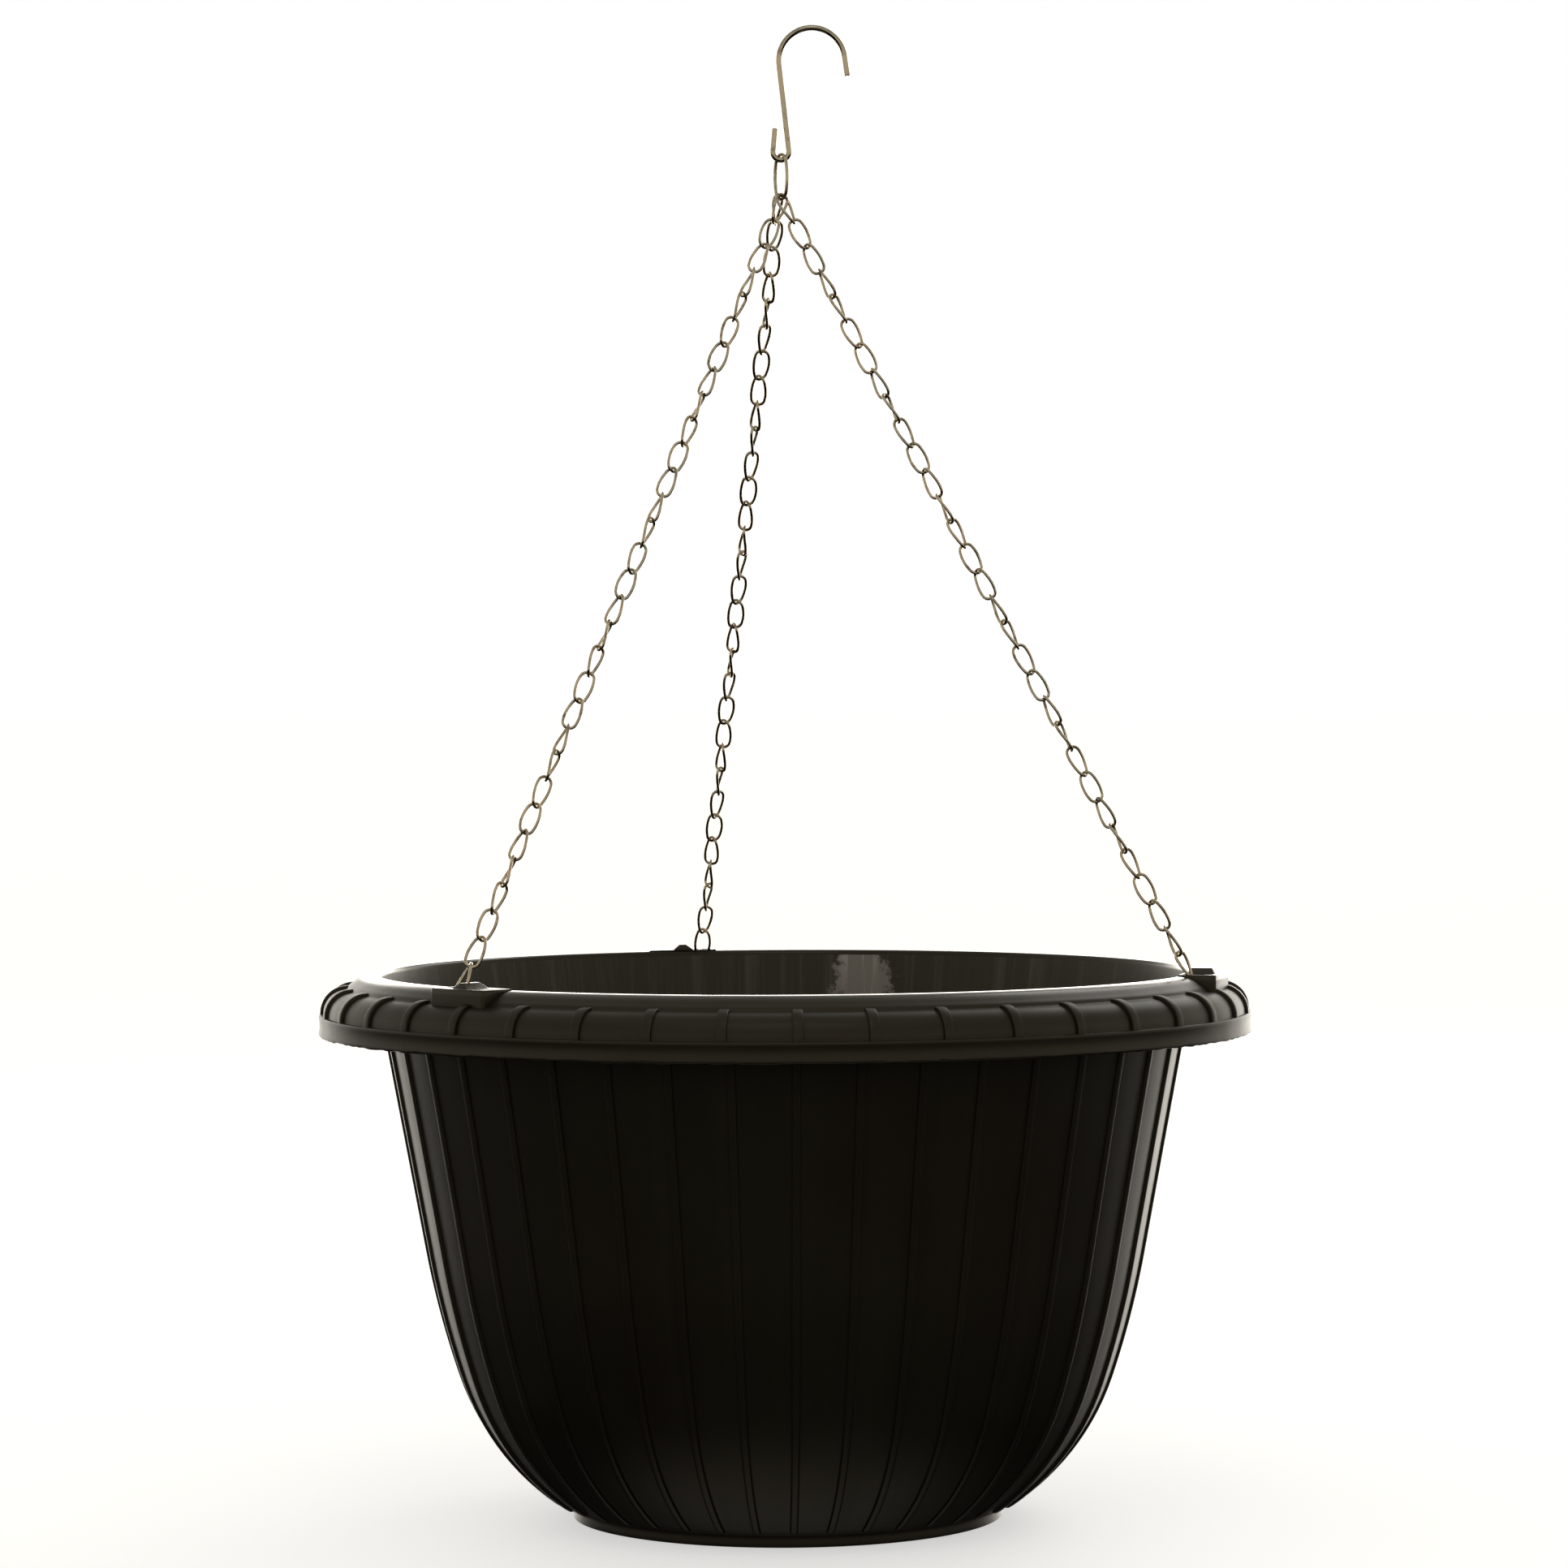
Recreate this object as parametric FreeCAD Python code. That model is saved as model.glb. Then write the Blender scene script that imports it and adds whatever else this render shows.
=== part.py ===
import FreeCAD, Part
import math
import os

# Hanging basket: a ribbed moulded bowl on three chains of twisted links, which meet in an oval
# link on the lower bend of an S-hook. Millimetres and degrees, +Z up. The origin is the middle
# of the foot's underside, and +X points at the middle of the first chain anchor.

# Bowl
lip_radius = 175.0          # outer face of the lip, the widest part of the basket
bowl_height = 204.5         # underside of the foot to the crest of the bead
wall = 1.8                  # side, bead and shoulder
side_taper = 10.5           # straight upper side, from the vertical
bend_height = 100.5         # where the straight side starts to curve in
bend_share = 1.35           # length of the lower arc of that curve against the upper one
floor_taper = 57.0          # lean of the side where it meets the foot
floor_wall = 2.2
foot_radius = 81.0
foot_height = 4.4
foot_step = 3.2             # the side starts this far out from the foot ring
foot_step_rise = 0.5
foot_wall = 3.0
foot_inner_slope = 1.0      # lean-in of the foot ring's inner face
foot_recess = 3.0           # floor's underside above the surface the foot stands on
drain_holes = 8
drain_radius = 4.0
drain_circle = 58.0

# Rim, from the inside out: bead, groove, quarter-round shoulder, lip
rim_width = 23.5            # inner face of the bead to the outer face of the lip
bead_rise = 5.4             # groove to the crest
bead_inner_drop = 1.9       # crest to the top of the straight inner face
bead_crest_in = 1.9         # inner face to the crest
bead_knee_drop = 2.3        # crest to where the bead turns steeply down
bead_knee_in = 3.4          # groove to that knee
bead_foot_slope = 78.0      # steepness of the bead at the groove
shoulder_radius = 9.0
lip_step = 1.8              # lip stands out from the shoulder
lip_height = 7.6
lip_wall = 2.0
lip_round = 0.7
lip_drop = 0.5              # top of the lip below the end of the shoulder

# Ribs, one set on the side and one on the shoulder, on the same lines
ribs = 41
rib_turn = 5.3              # first rib, from +X
side_rib_width = 3.0
side_rib_height = 1.0
side_rib_round = 0.8
shoulder_rib_width = 3.6
shoulder_rib_height = 1.2
shoulder_rib_round = 0.35
rib_sink = 0.8              # how far a rib's root is sunk into the wall
side_rib_gap = 1.6          # lower end of a side rib above the start of the side
side_rib_tuck = 0.5         # upper end sunk into the underside of the rim
shoulder_rib_tail = 2.2     # run in from the shoulder over the groove
shoulder_rib_drop = 0.8     # run down past the end of the shoulder

# Chain anchors, moulded on the rim
anchors = 3
anchor_width = 25.0
anchor_cap_side = 2.8       # how much further the housing reaches on the cap's side
anchor_overlap = 2.1        # outer face beyond the groove
anchor_rise = 0.5           # top above the crest of the bead
anchor_depth = 14.0
anchor_wall = 1.5
anchor_round = 1.1
anchor_root = 1.0           # inner face of the housing inside the crest of the bead
anchor_inner_step = 0.3     # the housing's root stands this far into the basket
slot_width = 7.6            # opening for the chain's end link
slot_length = 7.8
slot_side_wall = 1.2
slot_inner_wall = 1.7       # between the slot and the inside of the basket
peg_radius = 0.75
peg_round = 0.3             # free end
peg_entry = 1.6             # left beside the peg's free end, for the wire to pass
peg_sink = 0.1              # top of the peg below the top of the anchor
peg_seat = 3.1              # where the chain pulls on the peg, from the slot's inner wall
peg_play = 0.45             # between the peg and the end link
cap_height = 2.0            # hipped cap beside the slot
cap_base_length = 10.6
cap_base_width = 8.8
cap_top_length = 7.8
cap_top_width = 2.1
cap_gap = 0.1               # between the slot and the cap
cap_sink = 0.2              # foot of the cap below the top of the anchor
cap_lean = 0.4              # the cap's ridge is nearer to the slot than its middle
core_wall = 0.6             # more than the slot's inner wall, inside the cap's side

# Chains
chain_links = 31
chain_wire = 1.1
link_inside = 10.82
link_width = 7.0
link_twist = -50.0          # upper end against the lower; below zero is left-handed
link_play = 0.12            # left between wires that bear on each other
links_per_node = 2
first_link_turns = [-18.5, 49.1, -80.6]     # each chain's first link, about the chain
link_steps = [-41.9, -38.4, -39.8]          # turn from each link to the next, by chain

# Oval link that gathers the chains
oval_wire = 1.3
oval_length = 18.0
oval_width = 9.5
oval_turn = -42.2           # its plane, from +X
oval_play = 0.3             # between its upper bend and the hook
seat_play = 0.25            # between its lower bend and the chains
seat_angles = [4.0, -29.9, 16.0]            # where each chain sits along its lower bend

# S-hook
hook_wire = 2.1
hook_turn = 14.8            # its plane, from +X
hook_low_radius = 3.0
hook_low_tip = 8.6          # straight end of the lower bend
hook_low_lean = 5.0
hook_shank = 32.6
hook_shank_lean = 6.3
hook_top_radius = 12.4
hook_top_tip = 7.6
hook_top_lean = 8.0
hook_end_round = 0.35

# Places that follow from the sizes above
crest_z = bowl_height
groove_z = crest_z - bead_rise
shoulder_z = groove_z - shoulder_radius
shoulder_x = lip_radius - lip_step - shoulder_radius
lip_top = shoulder_z - lip_drop
lip_bottom = lip_top - lip_height
inner_top = lip_radius - rim_width
crest_x = inner_top + bead_crest_in
inner_z = crest_z - bead_inner_drop
under_z = groove_z - wall
anchor_top = crest_z + anchor_rise
anchor_face = shoulder_x + anchor_overlap
slot_start = inner_top + slot_inner_wall
slot_middle = -(anchor_width / 2 - slot_side_wall - slot_width / 2)
peg_z = anchor_top - peg_radius - peg_sink
seat_gap = (oval_wire + chain_wire) / 2 + seat_play
peg_gap = peg_radius + chain_wire / 2 + peg_play
link_half = (link_inside + chain_wire) / 2
link_half_width = (link_width - chain_wire) / 2
oval_half = (oval_length - oval_wire) / 2
chain_length = chain_links * 2 * link_half - (chain_links - 1) * (chain_wire + link_play)
peg_x = slot_start + peg_seat
chain_span = chain_length - seat_gap - peg_gap
apex_z = peg_z + math.sqrt(chain_span**2 - peg_x**2 - slot_middle**2)
hook_low_z = apex_z + 2 * oval_half - (hook_wire + oval_wire) / 2 - oval_play


near = 0.01                 # places closer than this are the same place


def point(x, z, y=0.0):
    return FreeCAD.Vector(x, y, z)


def heading(angle):
    """Direction in the XZ plane, from +X towards +Z."""
    return point(math.cos(math.radians(angle)), math.sin(math.radians(angle)))


def around(angle):
    """Horizontal direction at an angle from +X."""
    return FreeCAD.Vector(math.cos(math.radians(angle)), math.sin(math.radians(angle)), 0)


def line(start, end):
    return Part.LineSegment(start, end).toShape()


def arc_to(start, corner, end):
    """Arc from start to end that is tangent to both sides of the corner."""
    middle = (start + end) * 0.5
    half = math.acos(min(1.0, (end - middle).Length / (corner - start).Length))
    share = math.tan(half / 2) / math.tan(half)
    return Part.Arc(start, middle + (corner - middle) * share, end).toShape()


def two_arcs(start, leave, end, arrive, share=1.0):
    """Two tangent arcs that leave start and arrive at end in the given directions."""
    chord = end - start
    reach = leave * share + arrive
    square = 2 * share * (1 - leave.dot(arrive))
    linear = 2 * chord.dot(reach)
    second = (math.sqrt(linear**2 + 4 * square * chord.dot(chord)) - linear) / (2 * square)
    corner_1 = start + leave * (share * second)
    corner_2 = end - arrive * second
    joint = corner_1 + (corner_2 - corner_1) * (share / (1 + share))
    return [arc_to(start, corner_1, joint), arc_to(joint, corner_2, end)]


def moved_out(edge, distance):
    """An arc of the side moved outwards by a distance, about the same centre."""
    centre = edge.Curve.Center
    scale = (edge.Curve.Radius + distance) / edge.Curve.Radius
    stops = [edge.FirstParameter, (edge.FirstParameter + edge.LastParameter) / 2, edge.LastParameter]
    places = [centre + (edge.valueAt(stop) - centre) * scale for stop in stops]
    return Part.Arc(*places).toShape()


def chain_of(places):
    return [line(a, b) for a, b in zip(places, places[1:])]


def side_x(height):
    """Radius of the straight outer side at a height."""
    outer_top = inner_top + wall / math.cos(math.radians(side_taper))
    return outer_top + (height - inner_z) * math.tan(math.radians(side_taper))


def side_curve():
    """The curved lower side, from the foot up to the straight part."""
    start = point(foot_radius + foot_step, foot_height + foot_step_rise)
    end = point(side_x(bend_height), bend_height)
    return two_arcs(start, heading(90 - floor_taper), end, heading(90 - side_taper), bend_share)


def bowl_shell():
    """Side, floor, foot, bead, shoulder and lip, turned about Z."""
    outer_curve = side_curve()
    inner_curve = [moved_out(edge, -wall) for edge in outer_curve]
    side_start = outer_curve[0].Vertexes[0].Point
    side_end = outer_curve[-1].Vertexes[-1].Point
    inner_start = inner_curve[0].Vertexes[0].Point
    inner_end = inner_curve[-1].Vertexes[-1].Point
    floor_bottom = foot_recess
    floor_top = foot_recess + floor_wall
    floor_edge = inner_start.x - (inner_start.z - floor_top) * math.tan(math.radians(floor_taper))
    foot_inner = foot_radius - foot_wall
    under_radius = shoulder_radius - wall
    lip_inner = lip_radius - lip_wall
    knee = point(shoulder_x - bead_knee_in, crest_z - bead_knee_drop)
    crest = point(crest_x, crest_z)
    groove = point(shoulder_x, groove_z)
    bead_run = knee.x - crest_x
    bead_radius = (bead_run**2 + bead_knee_drop**2) / (2 * bead_knee_drop)
    bead_turn = math.degrees(math.asin(bead_run / bead_radius))
    bead_corner = point(crest_x + bead_radius * math.tan(math.radians(bead_turn / 2)), crest_z)
    edges = chain_of([
        point(0, floor_bottom),
        point(foot_inner - foot_inner_slope, floor_bottom),
        point(foot_inner, 0),
        point(foot_radius, 0),
        point(foot_radius, foot_height),
        side_start,
    ])
    edges += outer_curve
    edges += chain_of([side_end, point(side_x(under_z), under_z), point(shoulder_x, under_z)])
    middle = heading(45) * under_radius
    edges.append(Part.Arc(
        point(shoulder_x, under_z),
        point(shoulder_x, shoulder_z) + middle,
        point(shoulder_x + under_radius, shoulder_z),
    ).toShape())
    edges += chain_of([
        point(shoulder_x + under_radius, shoulder_z),
        point(shoulder_x + under_radius, lip_top - wall / 2),
        point(lip_inner, lip_top - wall),
        point(lip_inner, lip_bottom + lip_round),
        point(lip_inner + lip_round / 2, lip_bottom),
        point(lip_radius - lip_round, lip_bottom),
    ])
    edges.append(arc_to(
        point(lip_radius - lip_round, lip_bottom),
        point(lip_radius, lip_bottom),
        point(lip_radius, lip_bottom + lip_round),
    ))
    edges.append(line(point(lip_radius, lip_bottom + lip_round), point(lip_radius, lip_top - lip_round)))
    edges.append(arc_to(
        point(lip_radius, lip_top - lip_round),
        point(lip_radius, lip_top),
        point(lip_radius - lip_round, lip_top),
    ))
    shoulder_foot = point(shoulder_x + shoulder_radius, shoulder_z)
    edges += chain_of([
        point(lip_radius - lip_round, lip_top),
        point(shoulder_foot.x, lip_top),
        shoulder_foot,
    ])
    edges.append(Part.Arc(
        shoulder_foot,
        point(shoulder_x, shoulder_z) + heading(45) * shoulder_radius,
        groove,
    ).toShape())
    edges += two_arcs(groove, heading(180 - bead_foot_slope), knee, heading(180 - bead_turn))
    edges.append(arc_to(knee, bead_corner, crest))
    edges.append(arc_to(crest, point(inner_top, crest_z), point(inner_top, inner_z)))
    edges += [line(point(inner_top, inner_z), inner_end)]
    edges += inner_curve[::-1]
    edges += chain_of([inner_start, point(floor_edge, floor_top), point(0, floor_top)])
    edges.append(line(point(0, floor_top), point(0, floor_bottom)))
    profile = Part.Face(Part.Wire(Part.__sortEdges__(edges)))
    return profile.revolve(point(0, 0), FreeCAD.Vector(0, 0, 1), 360)


def plate(outline, width):
    """A flat outline in the XZ plane, given a width across it."""
    face = Part.Face(Part.Wire(Part.__sortEdges__(outline)))
    face.translate(FreeCAD.Vector(0, -width / 2, 0))
    return face.extrude(FreeCAD.Vector(0, width, 0))


def edges_where(shape, test):
    return [edge for edge in shape.Edges if test(edge)]


def side_rib():
    """One rounded rib up the side, from above the foot to the underside of the rim."""
    curve = side_curve()
    first = curve[0]
    start_turn = side_rib_gap / first.Curve.Radius
    low_stop = first.FirstParameter + start_turn
    high_stop = first.LastParameter
    places = [first.valueAt(low_stop), first.valueAt((low_stop + high_stop) / 2)]
    places.append(first.valueAt(high_stop))
    curve[0] = Part.Arc(*places).toShape()
    root = [moved_out(edge, -rib_sink) for edge in curve]
    face = [moved_out(edge, side_rib_height) for edge in curve]
    lean = math.radians(side_taper)
    top = under_z + side_rib_tuck
    root_top = point(side_x(top) - rib_sink / math.cos(lean), top)
    face_top = point(side_x(top) + side_rib_height / math.cos(lean), top)
    outline = root + face + [
        line(root[0].Vertexes[0].Point, face[0].Vertexes[0].Point),
        line(root[-1].Vertexes[-1].Point, root_top),
        line(root_top, face_top),
        line(face[-1].Vertexes[-1].Point, face_top),
    ]
    rib = plate(outline, side_rib_width)
    low = face[0].Vertexes[0].Point
    on_face = [edge.valueAt(edge.LastParameter) for edge in face] + [low]

    def outer_long(edge):
        return any(
            abs(vertex.Point.x - stop.x) < near and abs(vertex.Point.z - stop.z) < near
            for vertex in edge.Vertexes for stop in on_face
        ) and abs(edge.CenterOfMass.y) > side_rib_width / 2 - near

    long_edges = [
        edge for edge in edges_where(rib, outer_long)
        if edge.Length > 2 * (side_rib_height + rib_sink)
    ]
    return rib.makeFillet(side_rib_round, long_edges)


def shoulder_rib():
    """One rib over the shoulder, from the bead down to the lip."""
    inner = shoulder_radius - rib_sink
    outer = shoulder_radius + shoulder_rib_height
    centre = point(shoulder_x, shoulder_z)
    outline = [
        Part.Arc(*[centre + heading(turn) * radius for turn in (0, 45, 90)]).toShape()
        for radius in (inner, outer)
    ]
    outline += chain_of([
        centre + heading(90) * inner,
        centre + heading(90) * inner + point(-shoulder_rib_tail, 0),
        centre + heading(90) * outer + point(-shoulder_rib_tail, 0),
        centre + heading(90) * outer,
    ])
    outline += chain_of([
        centre + heading(0) * inner,
        centre + heading(0) * inner + point(0, -shoulder_rib_drop),
        centre + heading(0) * outer + point(0, -shoulder_rib_drop),
        centre + heading(0) * outer,
    ])
    rib = plate(outline, shoulder_rib_width)

    def outer_arc(edge):
        if edge.Curve.TypeId != "Part::GeomCircle":
            return False
        return abs(edge.Curve.Radius - outer) < near

    return rib.makeFillet(shoulder_rib_round, edges_where(rib, outer_arc))


def block(x_low, x_high, y_low, y_high, z_low, z_high):
    size = [x_high - x_low, y_high - y_low, z_high - z_low]
    return Part.makeBox(*size, FreeCAD.Vector(x_low, y_low, z_low))


def rectangle(x_middle, x_size, y_middle, y_size, z):
    corners = [(-0.5, -0.5), (0.5, -0.5), (0.5, 0.5), (-0.5, 0.5), (-0.5, -0.5)]
    return Part.makePolygon([
        FreeCAD.Vector(x_middle + a * x_size, y_middle + b * y_size, z) for a, b in corners
    ])


def anchor_body():
    """Housing on the rim that one chain hooks into, with its hipped cap, at +X."""
    left = -anchor_width / 2
    right = anchor_width / 2 + anchor_cap_side
    low = anchor_top - anchor_depth
    housing = block(crest_x - anchor_root, anchor_face, left, right, low, anchor_top)
    root = block(inner_top - anchor_inner_step, crest_x, left, right, low, groove_z)
    upright = edges_where(housing, lambda edge: (
        abs(edge.CenterOfMass.x - anchor_face) < near and abs(edge.tangentAt(0).z) > 0.9
    ))
    housing = housing.makeFillet(anchor_round, upright)
    top = edges_where(housing, lambda edge: (
        abs(edge.BoundBox.ZMin - anchor_top) < near and edge.CenterOfMass.x > crest_x
    ))
    housing = housing.makeFillet(anchor_round / 2, top)
    cap_middle = (slot_start + anchor_face - anchor_wall) / 2
    cap_y = slot_middle + (slot_width + cap_base_width) / 2 + cap_gap
    ridge_y = cap_y - cap_lean
    ridge_z = anchor_top + cap_height
    cap = Part.makeLoft([
        rectangle(cap_middle, cap_base_length, cap_y, cap_base_width, anchor_top - cap_sink),
        rectangle(cap_middle, cap_top_length, ridge_y, cap_top_width, ridge_z),
    ], True)
    return housing.multiFuse([root, cap])


def anchor_hollows():
    """Slot and pocket for the end link, and the hollow that keeps the cap's side thin."""
    low = anchor_top - anchor_depth
    floor = low + anchor_wall
    roof = anchor_top - anchor_wall
    pocket_end = anchor_face - anchor_wall
    left = slot_middle - slot_width / 2
    right = slot_middle + slot_width / 2
    core_start = slot_start + core_wall
    core_end = anchor_width / 2 + anchor_cap_side - anchor_wall
    over = anchor_top + anchor_wall
    under = low - anchor_wall
    slot = block(slot_start, slot_start + slot_length, left, right, floor, over)
    pocket = block(slot_start, pocket_end, left, right, floor, roof)
    core = block(core_start, pocket_end, right + anchor_wall, core_end, under, roof)
    return [slot, pocket, core]


def anchor_peg():
    """Peg across the slot that the end link hooks under; its inner end is free."""
    start = anchor_face - anchor_wall / 2
    length = start - slot_start - peg_entry
    root = FreeCAD.Vector(start, slot_middle, peg_z)
    peg = Part.makeCylinder(peg_radius, length, root, FreeCAD.Vector(-1, 0, 0))
    free_x = start - length
    free_end = edges_where(peg, lambda edge: abs(edge.CenterOfMass.x - free_x) < near)
    return peg.makeFillet(peg_round, free_end)


def turned(shape, angle):
    copy = shape.copy()
    copy.rotate(FreeCAD.Vector(0, 0, 0), FreeCAD.Vector(0, 0, 1), angle)
    return copy


def bowl():
    shell = bowl_shell()
    rib_angles = [rib_turn + 360 * i / ribs for i in range(ribs)]
    anchor_angles = [360 * i / anchors for i in range(anchors)]
    solid_parts = [turned(side_rib(), angle) for angle in rib_angles]
    solid_parts += [turned(shoulder_rib(), angle) for angle in rib_angles]
    solid_parts += [turned(anchor_body(), angle) for angle in anchor_angles]
    body = shell.multiFuse(solid_parts)
    cuts = [turned(hollow, angle) for hollow in anchor_hollows() for angle in anchor_angles]
    hole_start = FreeCAD.Vector(drain_circle, 0, foot_recess - floor_wall)
    hole = Part.makeCylinder(drain_radius, 3 * floor_wall, hole_start)
    cuts += [turned(hole, 360 * i / drain_holes) for i in range(drain_holes)]
    body = body.cut(cuts)
    body = body.multiFuse([turned(anchor_peg(), angle) for angle in anchor_angles])
    return body.removeSplitter()


def rod_along(edges, radius):
    """Round wire that follows tangent lines and arcs."""
    pieces = []
    for edge in edges:
        start = edge.valueAt(edge.FirstParameter)
        tangent = edge.tangentAt(edge.FirstParameter)
        disc = Part.Face(Part.Wire(Part.makeCircle(radius, start, tangent)))
        if edge.Curve.TypeId == "Part::GeomCircle":
            turn = math.degrees(edge.LastParameter - edge.FirstParameter)
            pieces.append(disc.revolve(edge.Curve.Center, edge.Curve.Axis, turn))
        else:
            pieces.append(disc.extrude(edge.valueAt(edge.LastParameter) - start))
    return pieces[0].multiFuse(pieces[1:]).removeSplitter()


def wire_link(half_length, half_width, twist, radius):
    """Closed link standing on Z, its upper end turned by half the twist and its lower by the rest."""
    lean = math.atan(half_width * math.radians(twist) / (2 * half_length))
    leave = around(twist / 2)
    arrive = FreeCAD.Vector(0, -math.sin(lean), -math.cos(lean))
    side = FreeCAD.Vector(half_width, 0, 0)
    quarter = two_arcs(point(0, half_length), leave, side, arrive)
    edges = list(quarter)
    for axis in [FreeCAD.Vector(0, 0, 1), FreeCAD.Vector(1, 0, 0), FreeCAD.Vector(0, 1, 0)]:
        for edge in quarter:
            copy = edge.copy()
            copy.rotate(FreeCAD.Vector(0, 0, 0), axis, 180)
            edges.append(copy)
    return rod_along(edges, radius)


def stood_along(shape, centre, upward, across):
    """Copy of a link with its length along upward and its width along across."""
    third = upward.cross(across)
    placed = FreeCAD.Matrix(
        across.x, third.x, upward.x, centre.x,
        across.y, third.y, upward.y, centre.y,
        across.z, third.z, upward.z, centre.z,
        0, 0, 0, 1,
    )
    return shape.transformed(placed, copy=True)


def seat_on_oval(index):
    """Wire centre of the oval link's lower bend where a chain sits."""
    half_width = (oval_width - oval_wire) / 2
    angle = math.radians(seat_angles[index])
    along = around(oval_turn) * (half_width * math.sin(angle))
    return along + point(0, apex_z + half_width * (1 - math.cos(angle)))


def chain(index, link):
    """Links of one chain from the oval link down to its anchor's peg."""
    angle = 360 * index / anchors
    peg = around(angle) * peg_x + around(angle + 90) * slot_middle + point(0, peg_z)
    seat = seat_on_oval(index)
    upward = (seat - peg).normalize()
    top = seat + upward * (seat_gap - link_half)
    bottom = peg - upward * (peg_gap - link_half)
    pitch = (top - bottom).Length / (chain_links - 1)
    level = around(angle + 90)
    level = (level - upward * level.dot(upward)).normalize()
    square = upward.cross(level)
    placed = []
    for i in range(chain_links):
        phase = math.radians(first_link_turns[index] + link_steps[index] * i)
        across = level * math.cos(phase) + square * math.sin(phase)
        placed.append(stood_along(link, top - upward * (pitch * i), upward, across))
    return placed


def bent_path(start, direction, steps):
    """Lines and arcs in the XZ plane: (length,) goes straight, (radius, turn) bends."""
    edges = []
    here = start
    for step in steps:
        if len(step) == 1:
            end = here + heading(direction) * step[0]
            edges.append(line(here, end))
        else:
            radius, turn = step
            side = 90 if turn > 0 else -90
            centre = here + heading(direction + side) * radius
            middle = centre + heading(direction - side + turn / 2) * radius
            end = centre + heading(direction - side + turn) * radius
            edges.append(Part.Arc(here, middle, end).toShape())
            direction += turn
        here = end
    return edges


def s_hook():
    """S-hook in its own plane, with the lowest point of its small bend over the basket's axis."""
    low = point(0, hook_low_z)
    shank_turn = 90 + hook_shank_lean
    long_side = bent_path(low, 0, [
        (hook_low_radius, shank_turn),
        (hook_shank,),
        (hook_top_radius, -(shank_turn + 90 - hook_top_lean)),
        (hook_top_tip,),
    ])
    short_side = bent_path(low, 180, [
        (hook_low_radius, -(90 + hook_low_lean)),
        (hook_low_tip,),
    ])
    rod = rod_along(long_side + short_side, hook_wire / 2)
    ends = [long_side[-1].valueAt(long_side[-1].LastParameter)]
    ends.append(short_side[-1].valueAt(short_side[-1].LastParameter))

    def at_an_end(edge):
        return min((edge.CenterOfMass - end).Length for end in ends) < near

    rod = rod.makeFillet(hook_end_round, edges_where(rod, at_an_end))
    return turned(rod, hook_turn)


def oval_link():
    half_width = (oval_width - oval_wire) / 2
    link = wire_link(oval_half, half_width, 0.0, oval_wire / 2)
    return stood_along(link, point(0, apex_z + oval_half), FreeCAD.Vector(0, 0, 1), around(oval_turn))


def save(name, shape):
    shape.exportStep(os.path.join("parts", name + ".step"))
    print(name, len(shape.Solids), shape.isValid(), round(shape.Volume, 2))


def main():
    os.makedirs("parts", exist_ok=True)
    save("bowl", bowl())
    save("s_hook", s_hook())
    save("oval_link", oval_link())
    link = wire_link(link_half, link_half_width, link_twist, chain_wire / 2)
    for index, letter in enumerate("abc"):
        links = chain(index, link)
        group_starts = range(0, chain_links - 1, links_per_node)
        for number, start in enumerate(group_starts, 1):
            group = links[start:min(start + links_per_node, chain_links - 1)]
            save("chain_%s_links_%02d" % (letter, number), Part.makeCompound(group))
        save("chain_%s_end_link" % letter, links[-1])


main()
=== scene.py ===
import math

import bpy
from mathutils import Matrix, Vector


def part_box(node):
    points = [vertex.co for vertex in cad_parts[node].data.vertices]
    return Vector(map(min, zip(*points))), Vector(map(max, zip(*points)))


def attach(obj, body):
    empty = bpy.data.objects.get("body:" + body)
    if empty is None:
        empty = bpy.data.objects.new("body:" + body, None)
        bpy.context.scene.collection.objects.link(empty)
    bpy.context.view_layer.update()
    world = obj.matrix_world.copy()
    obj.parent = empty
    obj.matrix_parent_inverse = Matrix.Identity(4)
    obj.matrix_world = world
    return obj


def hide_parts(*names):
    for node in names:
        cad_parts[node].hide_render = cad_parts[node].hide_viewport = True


bl_info = {
    "name": "Hanging Basket",
    "version": (1, 0, 0),
    "blender": (4, 5, 0),
    "location": "View3D > Sidebar > Hanging Basket",
    "description": "A ribbed hanging basket on chains, modelled and finished around its frame",
    "category": "Add Mesh",
}

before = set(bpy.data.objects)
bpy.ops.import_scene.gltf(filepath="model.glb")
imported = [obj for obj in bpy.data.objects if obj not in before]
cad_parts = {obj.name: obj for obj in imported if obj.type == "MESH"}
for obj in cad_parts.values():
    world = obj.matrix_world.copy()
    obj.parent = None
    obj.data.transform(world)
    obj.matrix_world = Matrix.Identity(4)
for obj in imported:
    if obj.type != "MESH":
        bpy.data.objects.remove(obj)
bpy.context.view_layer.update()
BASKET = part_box("bowl")

MM = 0.001
TURN = 2 * math.pi

# Small sizes of the moulding
CREST_Z = 204.5 * MM
BEND_SHARE = 1.35
BEND_STEPS = 14
BEAD_RISE = 5.4 * MM
BEAD_INNER_DROP = 1.9 * MM
BEAD_CREST_IN = 1.9 * MM
BEAD_KNEE_DROP = 2.3 * MM
BEAD_KNEE_IN = 3.4 * MM
BEAD_FOOT_SLOPE = 78
LIP_STEP = 1.8 * MM
LIP_DROP = 0.5 * MM
LIP_WALL = 2 * MM
LIP_ROUND = 0.7 * MM
FOOT_HEIGHT = 4.4 * MM
FOOT_STEP = 3.2 * MM
FOOT_STEP_RISE = 0.5 * MM
FOOT_WALL = 3 * MM
FOOT_RECESS = 3 * MM
FOOT_SLOPE = 1 * MM
FLOOR_WALL = 2.2 * MM
INNER_Z = CREST_Z - BEAD_INNER_DROP
RIB_SINK = 0.8 * MM
RIB_ROUND = 0.8 * MM
RIB_TUCK = 0.5 * MM
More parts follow.
